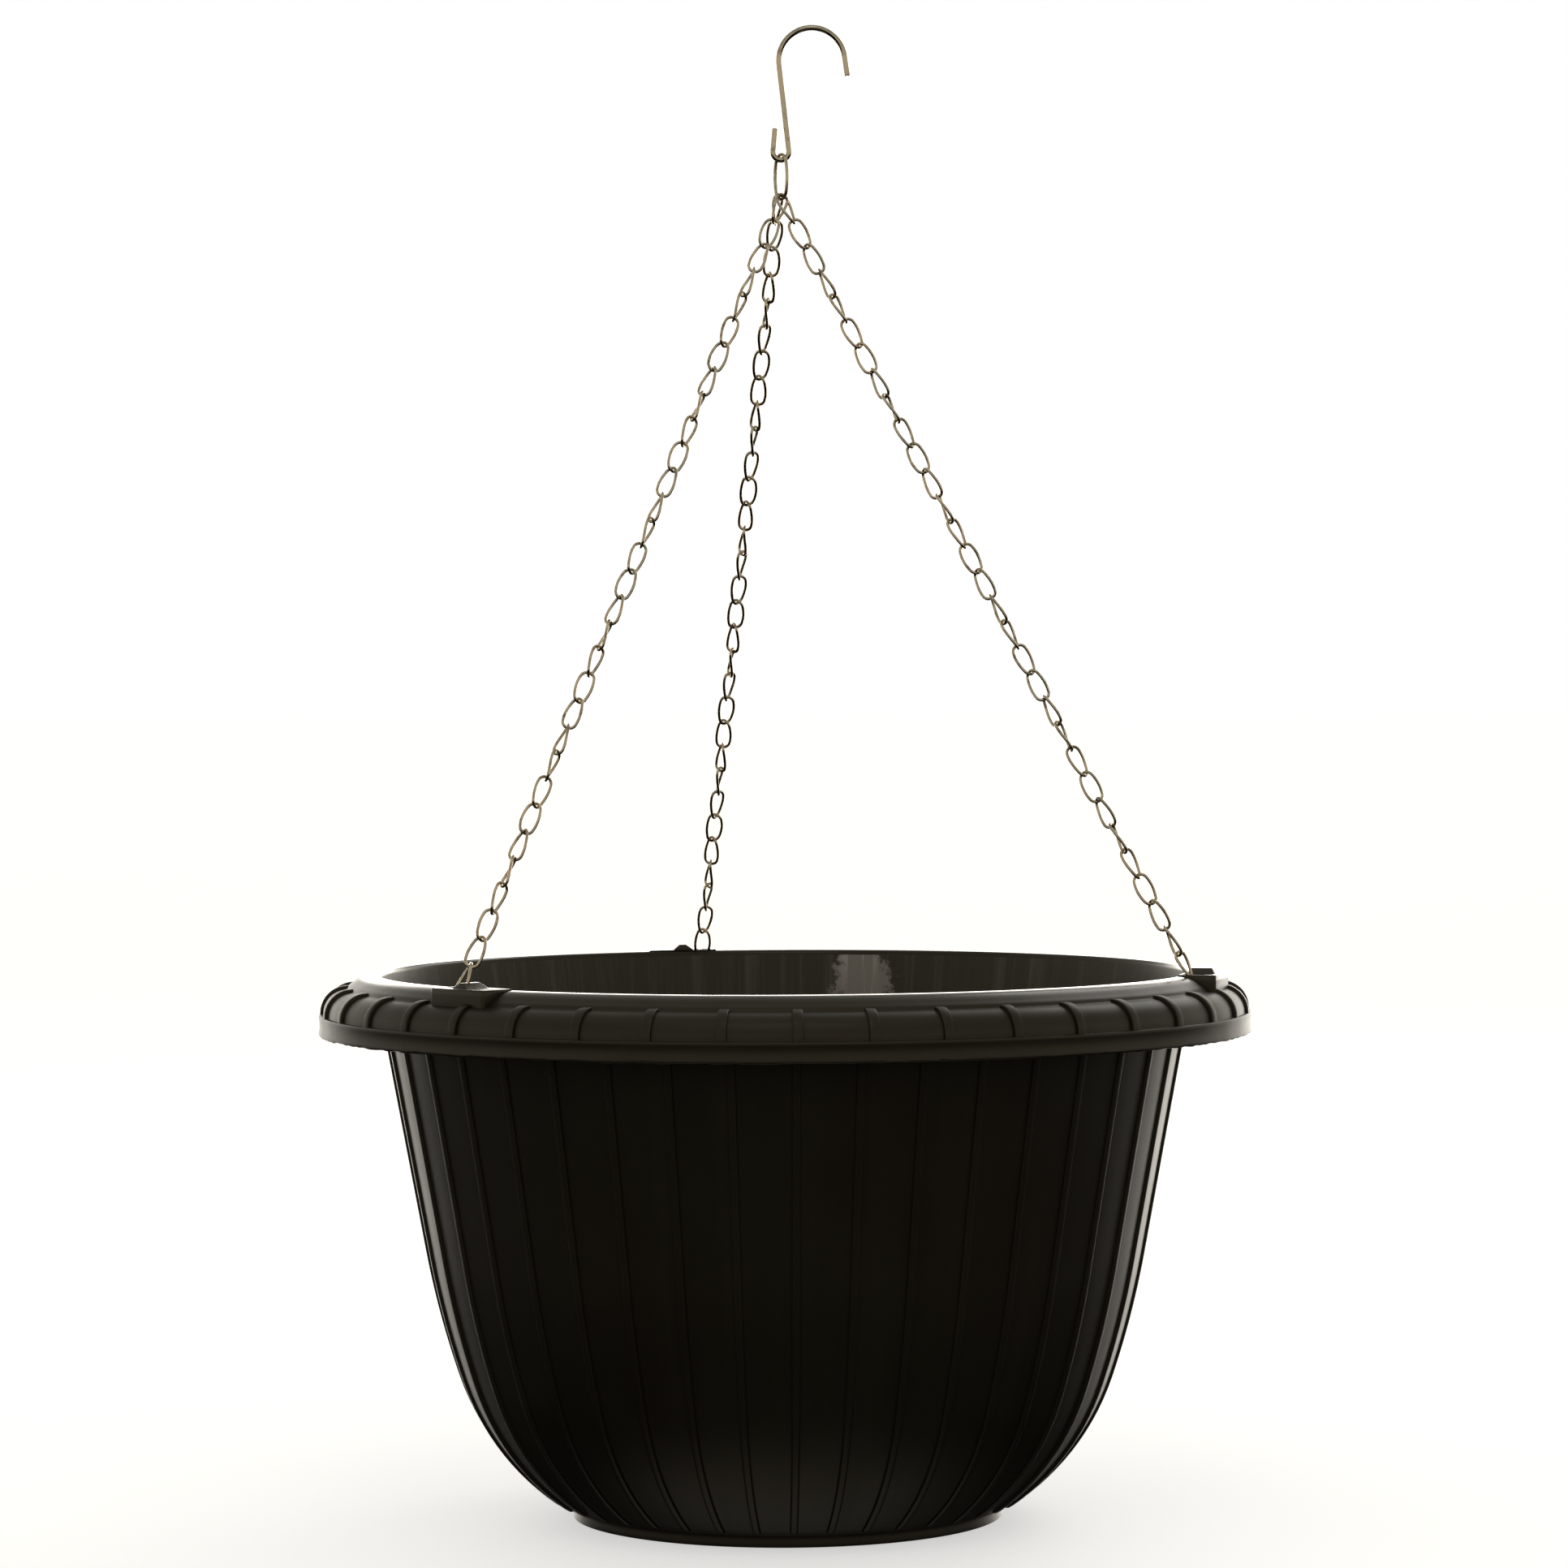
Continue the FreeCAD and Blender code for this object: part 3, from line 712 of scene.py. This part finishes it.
def model_basket(sizes):
    """The whole moulding as one closed mesh."""
    basket = drawn("basket", basket_outline(sizes))
    spun(basket, 10 * sizes.ribs)
    object_mode()
    roughen_lip(basket, sizes)
    for feature in (side_ribs, shoulder_ribs, anchor_housings, anchor_roots, anchor_caps):
        combine(basket, feature(sizes), "UNION")
    for hollow in anchor_hollows(sizes):
        combine(basket, hollow, "DIFFERENCE")
    combine(basket, anchor_pegs(sizes), "UNION")
    combine(basket, drain_holes(sizes), "DIFFERENCE")
    edit(basket)
    bpy.ops.mesh.select_all(action="SELECT")
    bpy.ops.mesh.remove_doubles(threshold=0.003 * MM)
    object_mode()
    bpy.ops.object.shade_smooth_by_angle(angle=math.radians(32))
    return basket


# Finishes


def node(tree, kind, values=None, **settings):
    """A shader node with its settings, and its inputs set or joined by name or number."""
    made = tree.nodes.new(kind)
    for key, value in settings.items():
        setattr(made, key, value)
    for key, value in (values or {}).items():
        if isinstance(value, bpy.types.NodeSocket):
            tree.links.new(value, made.inputs[key])
        else:
            made.inputs[key].default_value = value
    return made


def math_node(tree, operation, first, second=0.0, third=0.0):
    return node(tree, "ShaderNodeMath", {0: first, 1: second, 2: third}, operation=operation).outputs[0]


def blend_colour(tree, factor, first, second):
    mix = node(tree, "ShaderNodeMix", data_type="RGBA")
    for socket, value in ((0, factor), (6, first), (7, second)):
        if isinstance(value, bpy.types.NodeSocket):
            tree.links.new(value, mix.inputs[socket])
        else:
            mix.inputs[socket].default_value = value
    return mix.outputs[2]


def ramp(tree, factor, low, high, start=0.0, end=1.0):
    """A soft step of the factor from low to high."""
    return node(tree, "ShaderNodeMapRange", {
        "Value": factor, "From Min": low, "From Max": high, "To Min": start, "To Max": end,
    }, interpolation_type="SMOOTHSTEP").outputs[0]


def opaque(rgb):
    return (rgb[0], rgb[1], rgb[2], 1.0)


def new_group(name, inputs, outputs):
    """A shader node group with the object's own coordinates ready inside it."""
    group = bpy.data.node_groups.new(name, "ShaderNodeTree")
    for socket, default in inputs:
        made = group.interface.new_socket(name=socket, in_out="INPUT", socket_type="NodeSocketFloat")
        made.default_value = default
    for socket in outputs:
        group.interface.new_socket(name=socket, in_out="OUTPUT", socket_type="NodeSocketFloat")
    start = group.nodes.new("NodeGroupInput")
    end = group.nodes.new("NodeGroupOutput")
    place = group.nodes.new("ShaderNodeTexCoord").outputs["Object"]
    return group, start, end, place


def grain_group():
    """Fine moulded grain: a height, and a mask of where the grain is rubbed smooth."""
    group, start, end, place = new_group("moulded_grain", [("Scale", 900.0)], ["Height", "Rubbed"])
    fine = node(group, "ShaderNodeTexNoise", {
        "Vector": place, "Scale": start.outputs["Scale"], "Detail": 3.0, "Roughness": 0.6,
    })
    broad = node(group, "ShaderNodeTexNoise", {"Vector": place, "Scale": 34.0, "Detail": 4.0})
    group.links.new(fine.outputs[0], end.inputs["Height"])
    group.links.new(ramp(group, broad.outputs[0], 0.42, 0.72), end.inputs["Rubbed"])
    return group


def streak_group():
    """Streaks that run down the moulding, the same all round its axis."""
    group, start, end, place = new_group(
        "flow_streaks", [("Count", 26.0), ("Stretch", 0.9), ("Low", 0.5), ("High", 0.75)], ["Mask"]
    )
    parts = node(group, "ShaderNodeSeparateXYZ", {0: place})
    level = node(group, "ShaderNodeCombineXYZ", {0: parts.outputs[0], 1: parts.outputs[1]})
    around = node(group, "ShaderNodeVectorMath", {0: level.outputs[0]}, operation="NORMALIZE")
    spread = node(group, "ShaderNodeVectorMath", {
        0: around.outputs[0], "Scale": start.outputs["Count"],
    }, operation="SCALE")
    stretch = math_node(group, "MULTIPLY", start.outputs["Stretch"], STREAK_SQUEEZE)
    drop = math_node(group, "MULTIPLY", parts.outputs[2], stretch)
    lift = node(group, "ShaderNodeCombineXYZ", {2: drop})
    where = node(
        group, "ShaderNodeVectorMath", {0: spread.outputs[0], 1: lift.outputs[0]}, operation="ADD"
    )
    noise = node(group, "ShaderNodeTexNoise", {
        "Vector": where.outputs[0], "Scale": 1.0, "Detail": 4.0, "Roughness": 0.55,
    })
    mask = node(group, "ShaderNodeMapRange", {
        "Value": noise.outputs[0], "From Min": start.outputs["Low"], "From Max": start.outputs["High"],
    }, interpolation_type="SMOOTHSTEP")
    group.links.new(mask.outputs[0], end.inputs["Mask"])
    return group


def patch_group():
    """One soft-edged patch round a place, broken up by scratches."""
    group, start, end, place = new_group(
        "scuffed_patch",
        [("X", 0.0), ("Y", 0.0), ("Z", 0.0), ("Radius", 0.02), ("Height", 0.02)],
        ["Mask"],
    )
    centre = node(group, "ShaderNodeCombineXYZ", {i: start.outputs[i] for i in range(3)})
    away = node(
        group, "ShaderNodeVectorMath", {0: place, 1: centre.outputs[0]}, operation="SUBTRACT"
    )
    parts = node(group, "ShaderNodeSeparateXYZ", {0: away.outputs[0]})
    wide = node(group, "ShaderNodeCombineXYZ", {
        0: math_node(group, "DIVIDE", parts.outputs[0], start.outputs["Radius"]),
        1: math_node(group, "DIVIDE", parts.outputs[1], start.outputs["Radius"]),
        2: math_node(group, "DIVIDE", parts.outputs[2], start.outputs["Height"]),
    })
    reach = node(group, "ShaderNodeVectorMath", {0: wide.outputs[0]}, operation="LENGTH")
    noise = node(group, "ShaderNodeTexNoise", {
        "Vector": place, "Scale": 260.0, "Detail": 6.0, "Roughness": 0.7,
    })
    inset = math_node(group, "SUBTRACT", reach.outputs["Value"], 0.8)
    ragged = math_node(group, "MULTIPLY_ADD", noise.outputs[0], 1.6, inset)
    group.links.new(ramp(group, ragged, 1.05, 0.75), end.inputs["Mask"])
    return group


def new_material(name):
    material = bpy.data.materials.new(name)
    material.use_nodes = True
    tree = material.node_tree
    shader = tree.nodes["Principled BSDF"]
    return material, tree, shader


def use(tree, group, **values):
    placed = tree.nodes.new("ShaderNodeGroup")
    placed.node_tree = group
    for key, value in values.items():
        placed.inputs[key].default_value = value
    return placed


def plastic_outside(finish, groups):
    """Satin near-black plastic with a fine grain, browner and rubbed in places."""
    material, tree, shader = new_material("basket_plastic_outside")
    grain = use(tree, groups["grain"], Scale=1500.0)
    streaks = use(tree, groups["streaks"], Count=14.0, Stretch=0.35, Low=0.45, High=0.8)
    place = tree.nodes.new("ShaderNodeTexCoord").outputs["Object"]
    cloud = node(tree, "ShaderNodeTexNoise", {"Vector": place, "Scale": 11.0, "Detail": 3.0})
    green = [c * k for c, k in zip(finish.plastic, (0.85, 1.02, 0.88))]
    greener = ramp(tree, cloud.outputs[0], 0.35, 0.7)
    base = blend_colour(tree, greener, opaque(finish.plastic), opaque(green))
    rubbed = math_node(tree, "MULTIPLY", grain.outputs["Rubbed"], finish.wear * 0.5)
    worn = blend_colour(tree, rubbed, base, opaque(finish.plastic_pale))
    tree.links.new(worn, shader.inputs["Base Color"])
    rough = math_node(tree, "MULTIPLY_ADD", cloud.outputs[0], 0.14, 0.36)
    rough = math_node(tree, "MULTIPLY_ADD", streaks.outputs[0], 0.06, rough)
    # the crest of the bead is polished by handling
    up = node(tree, "ShaderNodeSeparateXYZ", {0: place}).outputs[2]
    top = BASKET[1].z
    polish = ramp(tree, up, top - POLISH_START, top - POLISH_FULL, 1.0, POLISHED_ROUGHNESS)
    tree.links.new(math_node(tree, "MULTIPLY", rough, polish), shader.inputs["Roughness"])
    ripple = node(tree, "ShaderNodeTexNoise", {"Vector": place, "Scale": 60.0, "Detail": 2.0})
    broad = node(tree, "ShaderNodeBump", {
        "Height": ripple.outputs[0], "Strength": 0.10, "Distance": 0.6 * MM,
    })
    fine = node(tree, "ShaderNodeBump", {
        "Height": grain.outputs["Height"], "Strength": 0.22, "Distance": GRAIN_DEPTH,
        "Normal": broad.outputs[0],
    })
    tree.links.new(fine.outputs[0], shader.inputs["Normal"])
    shader.inputs["Specular IOR Level"].default_value = 0.42
    shader.inputs["Specular Tint"].default_value = (1.0, 0.89, 0.66, 1.0)
    return material


def plastic_inside(finish, groups):
    """The same plastic inside, with dry streaks of film and a scuffed patch on the far wall."""
    material, tree, shader = new_material("basket_plastic_inside")
    grain = use(tree, groups["grain"], Scale=1100.0)
    streaks = use(tree, groups["streaks"], Count=22.0, Stretch=0.5, Low=0.48, High=0.78)
    fine_streaks = use(tree, groups["streaks"], Count=85.0, Stretch=1.6, Low=0.5, High=0.8)
    x, y, z = SCUFF_PLACE
    patch = use(tree, groups["patch"], X=x, Y=y, Z=z, Radius=SCUFF_RADIUS, Height=SCUFF_HEIGHT)
    film = math_node(tree, "MULTIPLY", streaks.outputs[0], 0.34)
    film = math_node(tree, "MULTIPLY_ADD", fine_streaks.outputs[0], 0.14, film)
    dark = [c * 2.4 for c in finish.plastic]
    base = blend_colour(tree, film, opaque(dark), opaque(finish.film))
    scuffed = math_node(tree, "MULTIPLY_ADD", fine_streaks.outputs[0], 0.45, 0.4)
    scuffed = math_node(tree, "MULTIPLY", scuffed, patch.outputs[0])
    base = blend_colour(tree, scuffed, base, opaque(finish.scuff))
    film = math_node(tree, "MAXIMUM", film, scuffed)
    tree.links.new(base, shader.inputs["Base Color"])
    tree.links.new(math_node(tree, "MULTIPLY_ADD", film, 0.3, 0.42), shader.inputs["Roughness"])
    fine = node(tree, "ShaderNodeBump", {
        "Height": grain.outputs["Height"], "Strength": 0.2, "Distance": GRAIN_DEPTH,
    })
    tree.links.new(fine.outputs[0], shader.inputs["Normal"])
    shader.inputs["Specular IOR Level"].default_value = 0.4
    shader.inputs["Specular Tint"].default_value = (1.0, 0.91, 0.74, 1.0)
    return material


def plated_wire(name, finish, groups, tarnish_share, brightness):
    """Dull yellow plating with fine specks and darker brown tarnish."""
    material, tree, shader = new_material(name)
    place = tree.nodes.new("ShaderNodeTexCoord").outputs["Object"]
    blotch = node(tree, "ShaderNodeTexNoise", {
        "Vector": place, "Scale": 210.0, "Detail": 4.0, "Roughness": 0.6,
    })
    speck = node(tree, "ShaderNodeTexNoise", {
        "Vector": place, "Scale": 1600.0, "Detail": 3.0, "Roughness": 0.7,
    })
    tone = node(tree, "ShaderNodeTexNoise", {"Vector": place, "Scale": 45.0, "Detail": 2.0})
    bright = [min(1.0, c * brightness) for c in finish.wire]
    cool = [c * k for c, k in zip(bright, (0.88, 0.95, 0.98))]
    metal = blend_colour(tree, ramp(tree, tone.outputs[0], 0.4, 0.62), opaque(bright), opaque(cool))
    dark = math_node(tree, "MULTIPLY", ramp(tree, blotch.outputs[0], 0.50, 0.72), tarnish_share)
    dark = math_node(tree, "MULTIPLY_ADD", ramp(tree, speck.outputs[0], 0.58, 0.75), 0.22, dark)
    base = blend_colour(tree, dark, metal, opaque(finish.tarnish))
    tree.links.new(base, shader.inputs["Base Color"])
    shader.inputs["Metallic"].default_value = 1.0
    rough = math_node(tree, "MULTIPLY_ADD", dark, 0.34, 0.15)
    tree.links.new(rough, shader.inputs["Roughness"])
    bump = node(tree, "ShaderNodeBump", {
        "Height": speck.outputs[0], "Strength": 0.18, "Distance": 0.03 * MM,
    })
    tree.links.new(bump.outputs[0], shader.inputs["Normal"])
    return material


def finishes():
    """The finishes and the effects they share, made once."""
    if "basket_plastic_outside" not in bpy.data.materials:
        finish = bpy.context.scene.basket_finish
        groups = {"grain": grain_group(), "streaks": streak_group(), "patch": patch_group()}
        plastic_outside(finish, groups)
        plastic_inside(finish, groups)
        plated_wire("chain_wire", finish, groups, 0.75, 1.0)
        plated_wire("hook_wire", finish, groups, 0.55, 0.92)
    return bpy.data.materials


def coat(piece, *names):
    """Gives the piece its finishes and nothing else."""
    materials = finishes()
    piece.data.materials.clear()
    for name in names:
        piece.data.materials.append(materials[name])


# Operators, one for each piece or group of pieces


class BuildBasket(bpy.types.Operator):
    """Model the ribbed moulding with its rim, foot and chain anchors"""

    bl_idname = "hanging_basket.build_basket"
    bl_label = "Basket"

    def execute(self, context):
        sizes = context.scene.basket_sizes
        basket = model_basket(sizes)
        coat(basket, "basket_plastic_outside", "basket_plastic_inside")
        inside = inside_of(sizes)
        for face in basket.data.polygons:
            face.material_index = 1 if inside(face.center) else 0
        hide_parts("bowl")
        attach(basket, "basket")
        return {"FINISHED"}


class FinishChains(bpy.types.Operator):
    """Finish the twisted links of the three chains"""

    bl_idname = "hanging_basket.finish_chains"
    bl_label = "Chains"

    def execute(self, context):
        for name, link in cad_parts.items():
            if name.startswith("chain_"):
                coat(link, "chain_wire")
        return {"FINISHED"}


class FinishHook(bpy.types.Operator):
    """Finish the S-hook and the oval link under it"""

    bl_idname = "hanging_basket.finish_hook"
    bl_label = "Hook and oval link"

    def execute(self, context):
        for name in ("s_hook", "oval_link"):
            coat(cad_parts[name], "hook_wire")
        return {"FINISHED"}


class BuildStage(bpy.types.Operator):
    """Set the floor, the soft light and the camera"""

    bl_idname = "hanging_basket.build_stage"
    bl_label = "Stage"

    def execute(self, context):
        look = context.scene.stage_look
        floor(look)
        surroundings(look)
        soft_lights()
        camera()
        return {"FINISHED"}


def floor(look):
    deselect()
    bpy.ops.mesh.primitive_circle_add(
        vertices=96, radius=FLOOR_RADIUS, fill_type="NGON", location=(0, 0, -FLOOR_GAP)
    )
    ground = settle("floor")
    material, tree, shader = new_material("pale_floor")
    shader.inputs["Base Color"].default_value = opaque(look.floor)
    shader.inputs["Roughness"].default_value = 0.9
    shader.inputs["Specular IOR Level"].default_value = 0.1
    shader.inputs["Emission Color"].default_value = opaque(look.floor)
    shader.inputs["Emission Strength"].default_value = look.floor_glow
    ground.data.materials.append(material)
    ground.visible_diffuse = False
    ground.visible_glossy = False


def surroundings(look):
    """A bright soft room behind the basket that falls away to the front."""
    world = bpy.data.worlds.new("soft_room")
    bpy.context.scene.world = world
    world.use_nodes = True
    tree = world.node_tree
    back = tree.nodes["Background"]
    way = tree.nodes.new("ShaderNodeTexCoord").outputs["Generated"]
    aligned = node(tree, "ShaderNodeVectorMath", {0: way, 1: BEHIND}, operation="DOT_PRODUCT")
    behind = aligned.outputs["Value"]
    up = node(tree, "ShaderNodeSeparateXYZ", {0: way}).outputs[2]
    low = ramp(tree, math_node(tree, "ABSOLUTE", up), 0.42, 0.14)
    wall = math_node(tree, "MULTIPLY", ramp(tree, behind, 0.70, 0.99, 0.0, look.back_light), low)
    room = ramp(tree, up, -0.24, 0.04, 0.0, look.front_light)
    ceiling = ramp(tree, up, 0.08, 0.6, 1.0, 0.55)
    below = ramp(tree, up, -0.78, -0.97, 0.0, look.floor_bounce)
    glow = math_node(tree, "MULTIPLY_ADD", room, ceiling, math_node(tree, "ADD", wall, below))
    seen = tree.nodes.new("ShaderNodeLightPath").outputs["Is Camera Ray"]
    strength = node(tree, "ShaderNodeMix", {0: seen, 2: glow, 3: 1.0}, data_type="FLOAT").outputs[0]
    tree.links.new(strength, back.inputs["Strength"])
    seen_white = blend_colour(tree, seen, (1.0, 0.96, 0.88, 1), (1, 1, 1, 1))
    tree.links.new(seen_white, back.inputs["Color"])


def soft_light(name, place, aim, size, power):
    light = bpy.data.lights.new(name, "AREA")
    light.shape = "DISK"
    light.size = size
    light.energy = power
    lamp = bpy.data.objects.new(name, light)
    bpy.context.scene.collection.objects.link(lamp)
    lamp.location = place
    lamp.rotation_euler = (Vector(aim) - Vector(place)).to_track_quat("-Z", "Y").to_euler()


def soft_lights():
    middle = (0, 0, 0.2)
    soft_light("light_above_front", (0.3, -1.2, 2.2), middle, 1.0, 2.0)
    soft_light("light_above_behind", (0.5, 1.9, 1.6), middle, 1.2, 6.0)


def camera():
    view = bpy.data.cameras.new("camera")
    view.lens = CAMERA_LENS
    view.sensor_width = 36
    view.clip_start, view.clip_end = 0.05, 200
    eye = bpy.data.objects.new("camera", view)
    bpy.context.scene.collection.objects.link(eye)
    eye.matrix_world = (
        Matrix.Translation(CAMERA_PLACE)
        @ Matrix.Rotation(math.radians(CAMERA_TURN), 4, "Z")
        @ Matrix.Rotation(math.radians(90 - CAMERA_DIP), 4, "X")
        @ Matrix.Rotation(math.radians(CAMERA_ROLL), 4, "Z")
    )
    bpy.context.scene.camera = eye
    bpy.context.scene.view_settings.view_transform = "Standard"


class BasketPanel(bpy.types.Panel):
    """Sizes, finishes and the steps that build the basket"""

    bl_idname = "VIEW3D_PT_hanging_basket"
    bl_label = "Hanging Basket"
    bl_space_type = "VIEW_3D"
    bl_region_type = "UI"
    bl_category = "Hanging Basket"

    def draw(self, context):
        for scene_name in GROUPS:
            group = getattr(context.scene, scene_name)
            box = self.layout.box()
            for name in group.__annotations__:
                box.prop(group, name)
        for operator in OPERATORS:
            self.layout.operator(operator.bl_idname)


GROUPS = {"basket_sizes": BasketSizes, "basket_finish": BasketFinish, "stage_look": StageLook}
OPERATORS = [BuildBasket, FinishChains, FinishHook, BuildStage]


def register():
    for kind in [*GROUPS.values(), *OPERATORS, BasketPanel]:
        bpy.utils.register_class(kind)
    for name, kind in GROUPS.items():
        setattr(bpy.types.Scene, name, bpy.props.PointerProperty(type=kind))


def unregister():
    for name in GROUPS:
        delattr(bpy.types.Scene, name)
    for kind in reversed([*GROUPS.values(), *OPERATORS, BasketPanel]):
        bpy.utils.unregister_class(kind)


def main():
    register()
    for operator in OPERATORS:
        family, name = operator.bl_idname.split(".")
        getattr(getattr(bpy.ops, family), name)()
    deselect()


if __name__ == "__main__":
    main()
